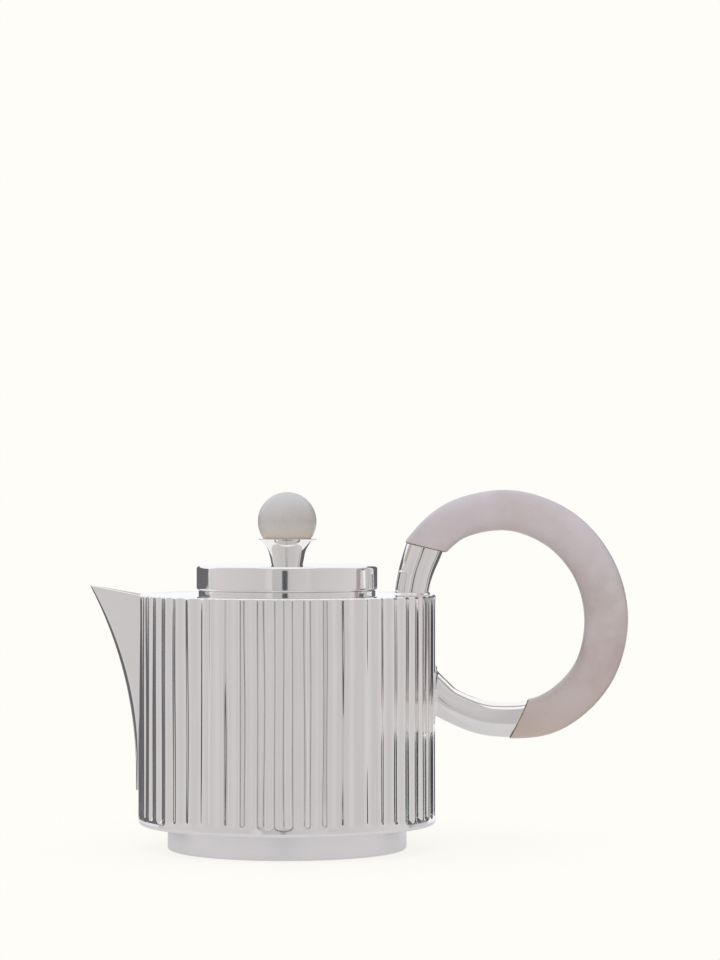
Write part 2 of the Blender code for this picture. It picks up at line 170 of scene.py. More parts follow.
# Spout: a folded sheet whose keel is upright at its foot, then an arc that leans out to the tip
KEEL_FOOT_X = -57.0 * MM
KEEL_ARC_START = 28.3 * MM
KEEL_ARC_RADIUS = 153.0 * MM
SPOUT_ROOT_DROP = 3.7 * MM
CHEEK_HALF_ANGLE = math.atan(0.46)
CHEEK_SHEET = 1.1 * MM
NOSE_ROUND_TIP = 1.8 * MM
NOSE_ROUND_MIDDLE = 5.0 * MM
NOSE_ROUND_INSIDE = 0.2 * MM
CHANNEL_BOTTOM = 60.0 * MM
SPOUT_ROWS = 44
CHEEK_STEPS = 8
NOSE_STEPS = 16
ROOT_PASSES = 4
RIM_ROUND = [(0.0, 0.3 * MM), (0.1 * MM, 0.08 * MM), (0.3 * MM, 0.0)]
RIM_GROWTH = 2.5

# Handle: its spine from the deck, over the top and round to the wall, as x, z and thickness in millimetres
HANDLE_SPINE = [
    (46.8, 93.5, 13.0),
    (47.2, 97.3, 13.0),
    (48.9, 105.2, 13.3),
    (51.8, 113.2, 14.1),
    (64.5, 124.0, 14.2),
    (84.5, 127.3, 14.8),
    (103.3, 119.9, 15.5),
    (116.0, 104.6, 15.7),
    (120.3, 84.8, 15.8),
    (114.6, 64.8, 14.9),
    (98.6, 50.8, 14.3),
    (77.6, 48.7, 13.1),
    (62.6, 53.5, 12.7),
    (55.7, 59.0, 12.5),
    (49.0, 66.0, 12.5),
]
UPPER_ARM_STATIONS = 4
UPPER_ARM_END = (55.2, 121.2, 13.7)
HANDLE_SPAN_STEPS = 24
HANDLE_SIDES = 64
HANDLE_DEPTH_SHARE = 0.94
STONE_PROUD = 0.3 * MM
STONE_SQUARENESS = 2.7
ARM_SQUARENESS = 2.0
UPPER_SEAM = Vector((52.1 * MM, 0, 113.5 * MM))
UPPER_SEAM_TILT = math.radians(76.5)
UPPER_SEAM_OUT = Vector((math.cos(UPPER_SEAM_TILT), 0, math.sin(UPPER_SEAM_TILT)))
LOWER_SEAM = Vector((87.2 * MM, 0, 48.6 * MM))
LOWER_SEAM_TILT = math.radians(-26.1)
LOWER_SEAM_OUT = Vector((math.cos(LOWER_SEAM_TILT), 0, math.sin(LOWER_SEAM_TILT)))
SEAM_HALF = 0.2 * MM
SEAM_SUNK = 0.06 * MM
END_ROUND = 0.3 * MM
END_ROUND_STEPS = 4
CUT_REACH = 32.0 * MM
SOLDER = 0.9 * MM
ARM_INTO_DECK = 0.3 * MM

# Lid and knob
LID_SHEET = 1.2 * MM
LID_ROUND = 1.4 * MM
LID_LOWER_ROUND = 0.9 * MM
LID_REST = 0.03 * MM
LID_PLATE_CLEARANCE = 0.02 * MM
BEZEL_SHEET = 1.0 * MM
BEZEL_CLEARANCE = 0.4 * MM
STUD_CLEARANCE = 0.3 * MM
BALL_CLEARANCE = 0.05 * MM
WASHER_ROUND = 0.2 * MM
WASHER_HOLE_ROUND = 0.1 * MM
CUP_NECK_RADIUS = 5.9 * MM
CUP_TAPER = 2.0 * MM
CUP_FLARE_POWER = 5
CUP_FLARE_STEPS = 30
CUP_LIP = 0.35 * MM
BALL_STEPS = 48
NUT_POINTS = 48
NUT_SIDES = 6
NUT_CHAMFER = 0.35 * MM

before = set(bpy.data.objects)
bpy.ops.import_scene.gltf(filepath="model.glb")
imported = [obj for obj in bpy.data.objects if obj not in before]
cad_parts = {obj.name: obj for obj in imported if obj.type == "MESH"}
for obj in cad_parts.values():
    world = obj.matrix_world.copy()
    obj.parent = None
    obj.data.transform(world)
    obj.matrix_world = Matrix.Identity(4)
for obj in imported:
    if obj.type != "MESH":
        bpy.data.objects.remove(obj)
cad_low, cad_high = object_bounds()
random.seed(SEED)

FOOT_LOW, FOOT_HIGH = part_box("foot_ring")
PLATE_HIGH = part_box("foot_plate")[1]
TRAY_LOW, TRAY_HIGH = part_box("base_tray")
WALL_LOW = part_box("body_wall")[0]
DECK_LOW, DECK_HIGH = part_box("top_plate")
COLLAR_LOW, COLLAR_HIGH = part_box("mouth_collar")
SPOUT_LOW, SPOUT_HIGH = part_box("spout_shell")
LID_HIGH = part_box("lid_cap")[1]
UNDER_LOW, UNDER_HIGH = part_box("lid_underplate")
BEZEL_LOW, BEZEL_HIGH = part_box("lid_bezel")
CUP_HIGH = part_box("knob_cup")[1]
BALL_LOW, BALL_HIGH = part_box("knob_ball")
STUD_LOW, STUD_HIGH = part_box("knob_stud")
WASHER_LOW, WASHER_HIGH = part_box("knob_washer")
NUT_LOW, NUT_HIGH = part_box("knob_nut")
BODY_RADIUS = TRAY_HIGH.x
WALL_INNER_RADIUS = BODY_RADIUS - WALL_SHEET
ROOT_RADIUS = WALL_INNER_RADIUS + WALL_SHEET / 3
STUD_HOLE_RADIUS = STUD_HIGH.x + STUD_CLEARANCE
BALL_RADIUS = (BALL_HIGH.x - BALL_LOW.x) / 2
BALL_CENTRE = BALL_HIGH.z - BALL_RADIUS


class Nodes:
    """Adds nodes to one shader tree. An input is a value, or another node's output to link."""

    def __init__(self, tree):
        self.tree = tree
        tree.nodes.clear()

    def feed(self, socket, value):
        if isinstance(value, bpy.types.NodeSocket):
            self.tree.links.new(value, socket)
        else:
            socket.default_value = value

    def add(self, kind, inputs=None, **settings):
        node = self.tree.nodes.new("ShaderNode" + kind)
        for name, value in settings.items():
            setattr(node, name, value)
        for key, value in (inputs or {}).items():
            self.feed(node.inputs[key], value)
        return node

    def math(self, operation, first, second):
        return self.add("Math", {0: first, 1: second}, operation=operation).outputs[0]

    def between(self, value, start, end, low=0.0, high=1.0):
        """Value taken from the range start to end into the range low to high, and held there."""
        inputs = {"Value": value, "From Min": start, "From Max": end, "To Min": low, "To Max": high}
        return self.add("MapRange", inputs).outputs["Result"]

    def ramp(self, factor, stops):
        """A colour ramp with stops of (place, colour)."""
        node = self.add("ValToRGB", {"Fac": factor})
        elements = node.color_ramp.elements
        while len(elements) < len(stops):
            elements.new(1.0)
        for element, (place, colour) in zip(elements, stops):
            element.position = place
            element.color = (*colour, 1.0)
        return node.outputs["Color"]

    def mix(self, factor, first, second):
        node = self.add("Mix", data_type="RGBA")
        wiring = {"Factor_Float": factor, "A_Color": first, "B_Color": second}
        for socket in node.inputs:
            if socket.identifier in wiring:
                self.feed(socket, wiring[socket.identifier])
        return next(socket for socket in node.outputs if socket.identifier == "Result_Color")

    def noise(self, scale, detail, stretch=(1, 1, 1), roughness=0.5, offset=0.0):
        """Noise in the object's own space, at so many features to the metre."""
        place = self.add("TexCoord").outputs["Object"]
        shift = (offset, offset, offset)
        moved = self.add("Mapping", {"Vector": place, "Scale": stretch, "Location": shift})
        inputs = {
            "Vector": moved.outputs["Vector"],
            "Scale": scale,
            "Detail": detail,
            "Roughness": roughness,
        }
        return self.add("TexNoise", inputs).outputs["Fac"]


def new_material(name):
    material = bpy.data.materials.new(name)
    material.use_nodes = True
    nodes = Nodes(material.node_tree)
    return material, nodes


def close_material(nodes, inputs):
    shader = nodes.add("BsdfPrincipled", inputs)
    nodes.add("OutputMaterial", {"Surface": shader.outputs["BSDF"]})


def close_glow(nodes, colour):
    shader = nodes.add("Emission", {"Color": colour, "Strength": 1.0})
    nodes.add("OutputMaterial", {"Surface": shader.outputs["Emission"]})


def silver_material(name, light, dark, smooth, dull, ripple, wiped):
    """Silver whose tone and polish drift a little, with fine wipe marks and a slow ripple."""
    material, nodes = new_material(name)
    cloud = nodes.noise(SILVER_CLOUDS, detail=4)
    wipes = nodes.noise(WIPE_MARKS, detail=3, stretch=(1, 1, 0.2), offset=0.3)
    slow = nodes.noise(SLOW_RIPPLES, detail=1, offset=0.7)
    marks = nodes.mix(wiped, cloud, wipes)
    relief = nodes.add("Bump", {"Strength": 1.0, "Distance": ripple, "Height": slow})
    close_material(
        nodes,
        {
            "Base Color": nodes.ramp(cloud, [(0.3, dark), (0.7, light)]),
            "Metallic": 1.0,
            "Roughness": nodes.between(marks, 0.35, 0.65, smooth, dull),
            "Normal": relief.outputs["Normal"],
        },
    )
    return material


def stone_material(name, tones, tint, low, high, speck, roughness):
    """Polished stone with soft clouds of three tones, veils of a tint, and stains.

    Low and high are each a tone, the heights in the piece's box between which it comes in, and its share;
    they paint light and shade into the colour by height, at the bottom and at the top of the piece.
    """
    material, nodes = new_material(name)
    cloud = nodes.noise(STONE_CLOUDS, detail=4, roughness=0.6)
    veil = nodes.noise(STONE_VEILS, detail=3, offset=6.3)
    stain = nodes.noise(STONE_STAINS, detail=3, offset=2.9)
    fine = nodes.noise(STONE_GRAIN, detail=3, offset=1.7)
    split = nodes.add("SeparateXYZ", {"Vector": nodes.add("TexCoord").outputs["Generated"]}).outputs
    dark, middle, light = tones
    colour = nodes.ramp(cloud, [(0.36, dark), (0.5, middle), (0.64, light)])
    colour = nodes.mix(nodes.between(veil, 0.48, 0.66, 0.0, 0.7), colour, (*tint, 1.0))
    # Painted light and shade: the low tone tints the bottom of the piece and the high tone its top, by
    # height alone.
    for tone, start, end, share in (low, high):
        colour = nodes.mix(nodes.between(split["Z"], start, end, 0.0, share), colour, (*tone, 1.0))
    colour = nodes.mix(nodes.between(stain, 0.55, 0.72, 0.0, 0.5), colour, (*speck, 1.0))
    relief = nodes.add("Bump", {"Strength": 0.5, "Distance": STONE_RELIEF, "Height": fine})
    close_material(
        nodes,
        {
            "Base Color": colour,
            "Roughness": nodes.between(fine, 0.3, 0.7, roughness - 0.05, roughness + 0.07),
            "IOR": 1.5,
            "Normal": relief.outputs["Normal"],
        },
    )
    return material


def bond_material():
    material, nodes = new_material("bond")
    grain = nodes.noise(BOND_GRAIN, detail=3)
    relief = nodes.add("Bump", {"Strength": 0.6, "Distance": BOND_RELIEF, "Height": grain})
    close_material(
        nodes,
        {
            "Base Color": nodes.ramp(grain, [(0.3, BOND_DARK), (0.7, BOND_LIGHT)]),
            "Roughness": 0.6,
            "Normal": relief.outputs["Normal"],
        },
    )
    return material


def make_materials():
    return {
        "silver": silver_material(
            "silver",
            light=(0.955, 0.95, 0.945),
            dark=(0.93, 0.925, 0.915),
            smooth=0.03,
            dull=0.10,
            ripple=0.012 * MM,
            wiped=0.3,
        ),
        "satin_silver": silver_material(
            "satin_silver",
            light=(0.93, 0.92, 0.93),
            dark=(0.90, 0.89, 0.895),
            smooth=0.29,
            dull=0.33,
            ripple=0.02 * MM,
            wiped=0.08,
        ),
        "pink_stone": stone_material(
            "pink_stone",
            tones=((0.395, 0.332, 0.328), (0.432, 0.371, 0.367), (0.48, 0.425, 0.422)),
            tint=(0.455, 0.412, 0.43),
            # Painted shade: a darker, warmer tone towards the bottom of the ring. Painted highlight: a
            # paler bluish tone towards its top, where light falls.
            low=((0.405, 0.325, 0.285), 0.42, 0.0, 0.75),
            high=((0.53, 0.49, 0.525), 0.55, 1.0, 0.75),
            speck=(0.39, 0.32, 0.285),
            roughness=0.32,
        ),
        "pale_stone": stone_material(
            "pale_stone",
            tones=((0.43, 0.41, 0.39), (0.455, 0.435, 0.41), (0.48, 0.46, 0.44)),
            tint=(0.46, 0.45, 0.44),
            # Painted light: a lighter, warmer tone over the lower part of the ball, and a paler, cooler
            # tone towards its top where light falls.
            low=((0.76, 0.675, 0.585), 0.5, 0.1, 1.0),
            high=((0.49, 0.48, 0.485), 0.6, 1.0, 1.0),
            speck=(0.47, 0.44, 0.40),
            roughness=0.30,
        ),
        "bond": bond_material(),
    }


def new_object(name, bm):
    """The mesh as an object of the scene."""
    mesh = bpy.data.meshes.new(name)
    bm.to_mesh(mesh)
    bm.free()
    obj = bpy.data.objects.new(name, mesh)
    bpy.context.scene.collection.objects.link(obj)
    return obj


def new_solid(name, bm):
    """The mesh as an object whose faces look outwards."""
    bmesh.ops.recalc_face_normals(bm, faces=bm.faces)
    return new_object(name, bm)


def finish_piece(name, bm, body, slot, *nodes):
    """The mesh as a piece that rides on a body, wears a slot's material and stands for these nodes."""
    obj = new_solid(name, bm)
    obj.data.shade_smooth()
    obj.data.set_sharp_from_angle(angle=SHARP_EDGE)
    obj.data.materials.append(MATERIALS[slot])
    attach(obj, body)
    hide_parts(*nodes)


def stage_piece(name, bm, material):
    """Something of the set that isn't part of the pot."""
    obj = new_object(name, bm)
    obj.data.materials.append(material)
    return obj


def carve(bm, cutter_bm):
    """The first mesh less the second, as a new mesh."""
    obj = new_solid("carved", bm)
    cutter = new_solid("cutter", cutter_bm)
    modifier = obj.modifiers.new("carve", "BOOLEAN")
    modifier.object = cutter
    depsgraph = bpy.context.evaluated_depsgraph_get()
    mesh = bpy.data.meshes.new_from_object(obj.evaluated_get(depsgraph))
    carved = bmesh.new()
    carved.from_mesh(mesh)
    bpy.data.objects.remove(obj)
    bpy.data.objects.remove(cutter)
    bpy.data.meshes.remove(mesh)
    return carved


def add_loft(bm, rings, closed):
    """Rings of equally many points, skinned in order. A closed loft joins its ends, others are capped."""
    loops = [[bm.verts.new(point) for point in ring] for ring in rings]
    pairs = list(zip(loops, loops[1:]))
    if closed:
        pairs.append((loops[-1], loops[0]))
    else:
        bm.faces.new(loops[0])
        bm.faces.new(loops[-1])
    for lower, upper in pairs:
        for i in range(len(lower)):
            bm.faces.new((lower[i - 1], lower[i], upper[i], upper[i - 1]))


def lofted(rings, closed):
    bm = bmesh.new()
    add_loft(bm, rings, closed)
    return bm


def turned(profile, steps=TURN_STEPS):
    """A profile of (radius, height) points turned about Z. One that starts off the axis is a loop."""
    bm = bmesh.new()
    points = [bm.verts.new((radius, 0, height)) for radius, height in profile]
    edges = [bm.edges.new(pair) for pair in zip(points, points[1:])]
    if profile[0][0] > 0:
        edges.append(bm.edges.new((points[-1], points[0])))
    bmesh.ops.spin(
        bm, geom=points + edges, cent=(0, 0, 0), axis=(0, 0, 1), angle=math.tau, steps=steps, use_merge=True
    )
    bmesh.ops.remove_doubles(bm, verts=bm.verts, dist=SAME_POINT)
    return bm


def rounded(corners):
    """A profile of (radius, height, rounding) corners, with each rounding drawn as an arc."""
    points = []
    count = len(corners)
    for i, (r, z, rounding) in enumerate(corners):
        here = Vector((r, z))
        if rounding == 0:
            points.append((r, z))
            continue
        back = (Vector(corners[i - 1][:2]) - here).normalized()
        on = (Vector(corners[(i + 1) % count][:2]) - here).normalized()
        half = back.angle(on) / 2
        centre = here + (back + on).normalized() * rounding / math.sin(half)
        start = (here + back * rounding / math.tan(half) - centre).normalized()
        end = (here + on * rounding / math.tan(half) - centre).normalized()
        shares = [step / CORNER_STEPS for step in range(CORNER_STEPS + 1)]
        bend = [centre + rounding * start.slerp(end, share) for share in shares]
        points.append(tuple(bend[0] + back * rounding * FLAT_KEEPER))
        points += [tuple(point) for point in bend]
        points.append(tuple(bend[-1] + on * rounding * FLAT_KEEPER))
    return points


def arc(centre_z, radius, start, end, steps):
    """Points of a round stretch of a profile about the axis, by angles in degrees."""
    turns = [math.radians(start + (end - start) * i / steps) for i in range(steps + 1)]
    return [(radius * math.cos(t), centre_z + radius * math.sin(t)) for t in turns]


def hand_waves():
    """A slow wander round and up the wall, within about one either way, as a hand-finished surface has."""
    waves = [(k, random.uniform(0, math.tau), random.uniform(-1, 1)) for k in HAND_WAVES]

    def wander(turns, height):
        total = np.zeros_like(turns)
        for k, phase, lean in waves:
            total += np.sin(k * turns + phase + lean * HAND_TURNS_PER_METRE * math.tau * height)
        return total / math.sqrt(len(waves))

    return wander


FLUTE_SHIFT = hand_waves()
FLUTE_EXTRA = hand_waves()
TURNS = np.arange(FLUTE_COUNT * FLUTE_COLUMNS) * math.tau / (FLUTE_COUNT * FLUTE_COLUMNS)


def flute_radii(height, depth_share=1.0):
    """The wall's outside at this height: crests on the body's radius, and hollows, each a parabola."""
    depth = FLUTE_DEPTH * depth_share * (1 + HAND_DEPTH * FLUTE_EXTRA(TURNS, height))
    place = FLUTE_COUNT * (TURNS + HAND_SHIFT * FLUTE_SHIFT(TURNS, height)) / math.tau
    from_hollow = np.abs(place - np.round(place))
    in_hollow = 1 - PARABOLA * from_hollow**2
    on_crest = PARABOLA * (2 * QUARTER_PITCH - from_hollow) ** 2
    return BODY_RADIUS - depth * np.where(from_hollow < QUARTER_PITCH, in_hollow, on_crest)


def ring_at(radii, height):
    radii = np.broadcast_to(radii, TURNS.shape)
    return list(zip(radii * np.cos(TURNS), radii * np.sin(TURNS), np.full(TURNS.shape, height)))


def make_foot():
    """The plain foot band, up to the pot's bottom and round the plate that closes it from below."""
    radius = FOOT_HIGH.x
    inner = PLATE_HIGH.x
    top = TRAY_LOW.z
    profile = [
        (inner, top, 0),
        (radius, top, 0),
        (radius, FOOT_LOW.z, FOOT_ROUND),
        (inner, FOOT_LOW.z, 0),
    ]
    finish_piece("foot_band", turned(rounded(profile)), "pot", "satin_silver", "foot_ring")


def make_tray():
    """The pot's bottom, with the plain band under the flutes and the floor inside the wall."""
    floor = TRAY_HIGH.z
    under = floor - TRAY_SHEET
    hollow = FOOT_HIGH.x - TRAY_HOLLOW_INSET
    band_top = WALL_LOW.z
    inside = WALL_INNER_RADIUS - TRAY_CLEARANCE
    profile = [
        (0, floor, 0),
        (inside, floor, EDGE_ROUND),
        (inside, band_top, 0),
        (BODY_RADIUS, band_top, 0),
        (BODY_RADIUS, TRAY_LOW.z, TRAY_ROUND),
        (hollow, TRAY_LOW.z, EDGE_ROUND),
        (hollow, under, EDGE_ROUND),
        (0, under, 0),
    ]
    finish_piece("pot_bottom", turned(rounded(profile)), "pot", "silver", "base_tray")


def eased(share):
    """A share from none to all that starts and ends gently."""
    return share**2 * (3 - 2 * share)


def make_wall():
    """The fluted wall, with scooped lower ends to its hollows and strainer holes behind the spout."""
    bottom = WALL_LOW.z
    top = DECK_LOW.z
    rings = []
    for i in range(SCOOP_ROWS + 1):
        share = i / SCOOP_ROWS
        height = bottom + SCOOP_LENGTH * share
        rings.append(ring_at(flute_radii(height, eased(share)), height))
    for i in range(1, FLUTE_ROWS + 1):
        height = bottom + SCOOP_LENGTH + (top - bottom - SCOOP_LENGTH) * i / FLUTE_ROWS
        rings.append(ring_at(flute_radii(height), height))
    rings.append(ring_at(WALL_INNER_RADIUS, top))
    rings.append(ring_at(WALL_INNER_RADIUS, bottom))
    wall = carve(lofted(rings, closed=True), strainer_rods())
    finish_piece("fluted_wall", wall, "pot", "silver", "body_wall")


def strainer_rods():
    """Rods through the wall where its holes are, in rows that widen with the spout's channel."""
    bm = bmesh.new()
    for row in range(STRAINER_ROWS):
        height = STRAINER_TOP - row * STRAINER_PITCH
        room = spout_row(height, height, CHEEK_SHEET)[0][1] - STRAINER_RADIUS
        beside = int(max(room, 0) / STRAINER_PITCH)
        for column in range(-beside, beside + 1):
            add_loft(bm, strainer_rod(column * STRAINER_PITCH, height), closed=False)
    return bm


def strainer_rod(y, z):
    """The two end rings of one rod, outside the wall and inside it."""
    turns = [math.tau * i / STRAINER_SIDES for i in range(STRAINER_SIDES)]
    section = [(y + STRAINER_RADIUS * math.cos(t), z + STRAINER_RADIUS * math.sin(t)) for t in turns]
    ends = (-BODY_RADIUS - STRAINER_PAST_OUTSIDE, -WALL_INNER_RADIUS + STRAINER_PAST_INSIDE)
    return [[(x, *point) for point in section] for x in ends]


def make_deck():
    """The flat top of the pot, whose rounded rim follows the flutes, and the collar of the mouth."""
    edge = flute_radii(DECK_LOW.z)
    top = DECK_HIGH.z
    inner = COLLAR_HIGH.x
    rings = [ring_at(inner, DECK_LOW.z), ring_at(inner, top)]
    for i in range(DECK_ROUND_STEPS + 1):
        turn = math.pi / 2 * i / DECK_ROUND_STEPS
        inward = DECK_ROUND * (1 - math.sin(turn))
        rings.append(ring_at(edge - inward, top - DECK_ROUND * (1 - math.cos(turn))))
    rings.append(ring_at(edge, DECK_LOW.z))
    finish_piece("deck", lofted(rings, closed=True), "pot", "silver", "top_plate")
    inside = BEZEL_HIGH.x + BEZEL_CLEARANCE
    collar = [
        (inside, COLLAR_HIGH.z, EDGE_ROUND),
        (inner, COLLAR_HIGH.z, EDGE_ROUND),
        (inner, COLLAR_LOW.z, EDGE_ROUND),
        (inside, COLLAR_LOW.z, EDGE_ROUND),
    ]
    finish_piece("mouth_rim", turned(rounded(collar)), "pot", "silver", "mouth_collar")


def keel_x(height):
    """How far out the spout's leading edge is at this height."""
    rise = max(height - KEEL_ARC_START, 0)
    return KEEL_FOOT_X - KEEL_ARC_RADIUS + math.sqrt(KEEL_ARC_RADIUS**2 - rise**2)


def spout_share(height):
    """A height as a share of the way up the spout."""
    return (height - SPOUT_LOW.z) / (SPOUT_HIGH.z - SPOUT_LOW.z)


def nose_round(height):
    """The rounding of the spout's leading edge, fullest half way up."""
    share = min(max(spout_share(height), 0), 1)
    return NOSE_ROUND_TIP + (NOSE_ROUND_MIDDLE - NOSE_ROUND_TIP) * math.sin(math.pi * share)


def spout_row(keel_height, root_height, inset):
    """One level of the sheet, this far in from its outside, from one root round the keel to the other."""
    sine = math.sin(CHEEK_HALF_ANGLE)
    outer = nose_round(keel_height)
    apex = keel_x(keel_height) - outer * (1 / sine - 1) + inset / sine
    radius = max(outer - inset, NOSE_ROUND_INSIDE)
    centre = apex + radius / sine
    nose = centre - radius
    root_x = -ROOT_RADIUS
    for _ in range(ROOT_PASSES):
        half = math.tan(CHEEK_HALF_ANGLE) * (root_x - apex)
        root_x = -math.sqrt(ROOT_RADIUS**2 - half**2)
    side = []
    for i in range(NOSE_STEPS + 1):
        turn = (math.pi / 2 - CHEEK_HALF_ANGLE) * i / NOSE_STEPS
        side.append((centre - radius * math.cos(turn), radius * math.sin(turn)))
    start_x, start_y = side[-1]
    for i in range(1, CHEEK_STEPS + 1):
        share = i / CHEEK_STEPS
        side.append((start_x + (root_x - start_x) * share, start_y + (half - start_y) * share))
    fall = (root_height - keel_height) / (root_x - nose)
    near = [(x, y, keel_height + (x - nose) * fall) for x, y in reversed(side)]
    far = [(x, -y, keel_height + (x - nose) * fall) for x, y in side[1:]]
    return near + far


def spout_level(height, inset, drop=0.0):
    """A level of the spout, whose roots hang below its keel by more the higher it is."""
    keel_height = height - drop
    return spout_row(keel_height, keel_height - spout_share(height) * SPOUT_ROOT_DROP, inset)


def rim_levels():
    """Levels over the rim, whose outer edge is rounded more at the roots than at the tip."""
    tip = SPOUT_HIGH.z
    levels = []
    for inset, drop in RIM_ROUND:
        tight = spout_level(tip, inset, drop)
        full = spout_level(tip, inset * RIM_GROWTH, drop * RIM_GROWTH)
        half = len(tight) // 2
        shares = [abs(i - half) / half for i in range(len(tight))]
        pairs = zip(tight, full, shares)
        levels.append([Vector(one).lerp(Vector(other), share) for one, other, share in pairs])
    levels += [spout_level(tip, CHEEK_SHEET - inset, drop) for inset, drop in reversed(RIM_ROUND)]
    return levels


def make_spout():
    """A folded sheet, open on top, with a floor where its channel ends."""
    low = SPOUT_LOW.z
    heights = [low + (SPOUT_HIGH.z - low) * i / SPOUT_ROWS for i in range(SPOUT_ROWS)]
    outside = [spout_level(height, 0) for height in heights]
    floor_row = next(i for i, points in enumerate(outside) if points[0][2] > CHANNEL_BOTTOM)
    inside = [spout_level(height, CHEEK_SHEET) for height in reversed(heights[floor_row:])]

    bm = bmesh.new()
    grid = [[bm.verts.new(point) for point in points] for points in outside + rim_levels() + inside]
    for lower, upper in zip(grid, grid[1:]):
        for i in range(1, len(lower)):
            bm.faces.new((lower[i - 1], lower[i], upper[i], upper[i - 1]))
    last = len(grid) - 1
    for end in (0, -1):
        for i in range(floor_row, (last + floor_row) // 2):
            pair = (grid[i][end], grid[i + 1][end])
            facing = (grid[last + floor_row - i - 1][end], grid[last + floor_row - i][end])
            corners = list(dict.fromkeys((*pair, *facing)))
            if len(corners) > 2:
                bm.faces.new(corners)
    for i in range(floor_row):
        bm.faces.new((grid[i][0], grid[i + 1][0], grid[i + 1][-1], grid[i][-1]))
    bm.faces.new(grid[0])
    bm.faces.new((grid[floor_row][0], *grid[last], grid[floor_row][-1]))
    finish_piece("spout", bm, "pot", "silver", "spout_shell")


def spline(a, b, c, d, t):
    """Place and slope at share t of the span from b to c, on a smooth curve through a, b, c and d."""
    square = 2 * a - 5 * b + 4 * c - d
    cube = 3 * b - a - 3 * c + d
    place = b + 0.5 * ((c - a) * t + square * t**2 + cube * t**3)
    slope = 0.5 * (c - a + 2 * square * t + 3 * cube * t**2)
    return place, slope


def spine_samples(spine):
    """Points of a smooth curve through the spine, each as place, direction and half the thickness there."""
    stations = [Vector(station) * MM for station in spine]
    stations.insert(0, 2 * stations[0] - stations[1])
    stations.append(2 * stations[-1] - stations[-2])
    samples = []
    for a, b, c, d in zip(stations, stations[1:], stations[2:], stations[3:]):
        for step in range(HANDLE_SPAN_STEPS):
            here, slope = spline(a, b, c, d, step / HANDLE_SPAN_STEPS)
            along = Vector((slope.x, 0, slope.y)).normalized()
            samples.append((Vector((here.x, 0, here.y)), along, here.z / 2))
    return samples


def solder_swell(clearance):
    """How far a soldered bar swells at this distance from what it stands on."""
    within = min(max(SOLDER - clearance, 0), SOLDER)
    return SOLDER - math.sqrt(SOLDER**2 - within**2)


def squared(part, squareness):
    """A sine or cosine drawn out, so that a circle turns into a rounder or squarer oval."""
    return math.copysign(abs(part) ** (2 / squareness), part)


def swept(samples, grow, clearance=None, squareness=ARM_SQUARENESS):
    """A bar along these samples, round at squareness 2, which swells near the pot if given a clearance."""
    rings = []
    for place, along, half in samples:
        across = Vector((along.z, 0, -along.x))
        ring = []
        for i in range(HANDLE_SIDES):
            turn = math.tau * i / HANDLE_SIDES
            side = squared(math.cos(turn), squareness)
            front = squared(math.sin(turn), squareness)
            outward = across * side + Vector((0, HANDLE_DEPTH_SHARE * front, 0))
            point = place + (half + grow) * outward
            if clearance:
                point += outward * solder_swell(clearance(point))
            ring.append(point)
        rings.append(ring)
    return lofted(rings, closed=False)


def cut_flat(bm, place, outward, rounding):
    """Cuts off what lies outward of a plane, near the place, closes the end and rounds its edge."""
    verts = {vert for vert in bm.verts if (vert.co - place).length < CUT_REACH}
    geometry = [part for part in (*bm.edges, *bm.faces) if verts.issuperset(part.verts)]
    geometry += verts
    cut = bmesh.ops.bisect_plane(
        bm, geom=geometry, dist=SAME_POINT, plane_co=place, plane_no=outward, clear_outer=True
    )
    edges = [part for part in cut["geom_cut"] if isinstance(part, bmesh.types.BMEdge)]
    bmesh.ops.contextual_create(bm, geom=edges)
    if rounding:
        bmesh.ops.bevel(
            bm,
            geom=edges,
            offset=rounding,
            segments=END_ROUND_STEPS,
            profile=0.5,
            affect="EDGES",
            clamp_overlap=True,
        )


def nearest(samples, place):
    return min(range(len(samples)), key=lambda i: (samples[i][0] - place).length)


def make_handle():
    """Two silver arms, the stone ring between them, and the thin bond at each joint."""
    samples = spine_samples(HANDLE_SPINE)
    past = HANDLE_SPAN_STEPS
    upper = nearest(samples, UPPER_SEAM)
    lower = nearest(samples, LOWER_SEAM)
    make_stone_ring(samples[upper - past : lower + past + 1])
    make_bond("upper", samples[upper - past : upper + past + 1], UPPER_SEAM, UPPER_SEAM_OUT)
    make_bond("lower", samples[lower - past : lower + past + 1], LOWER_SEAM, LOWER_SEAM_OUT)
    make_upper_arm()
    make_lower_arm(samples[lower - past :])


def make_stone_ring(samples):
    stone = swept(samples, STONE_PROUD, squareness=STONE_SQUARENESS)
    cut_flat(stone, UPPER_SEAM + UPPER_SEAM_OUT * SEAM_HALF, -UPPER_SEAM_OUT, END_ROUND)
    cut_flat(stone, LOWER_SEAM + LOWER_SEAM_OUT * SEAM_HALF, -LOWER_SEAM_OUT, END_ROUND)
    finish_piece("stone_ring", stone, "pot", "pink_stone", "handle_grip")


def make_bond(where, samples, seam, out):
    bond = swept(samples, -SEAM_SUNK)
    cut_flat(bond, seam + out * SEAM_HALF, out, 0)
    cut_flat(bond, seam - out * SEAM_HALF, -out, 0)
    finish_piece(f"{where}_bond", bond, "pot", "bond", f"handle_{where}_seam")


def make_upper_arm():
    """The arm that stands on the deck, with a curve of its own past the seam."""
    deck = DECK_HIGH.z
    samples = spine_samples([*HANDLE_SPINE[:UPPER_ARM_STATIONS], UPPER_ARM_END])
    arm = swept(samples, 0, lambda point: point.z - deck)
    cut_flat(arm, UPPER_SEAM - UPPER_SEAM_OUT * SEAM_HALF, UPPER_SEAM_OUT, END_ROUND)
    cut_flat(arm, Vector((samples[0][0].x, 0, deck - ARM_INTO_DECK)), Vector((0, 0, -1)), 0)
    finish_piece("upper_arm", arm, "pot", "silver", "handle_upper_arm")


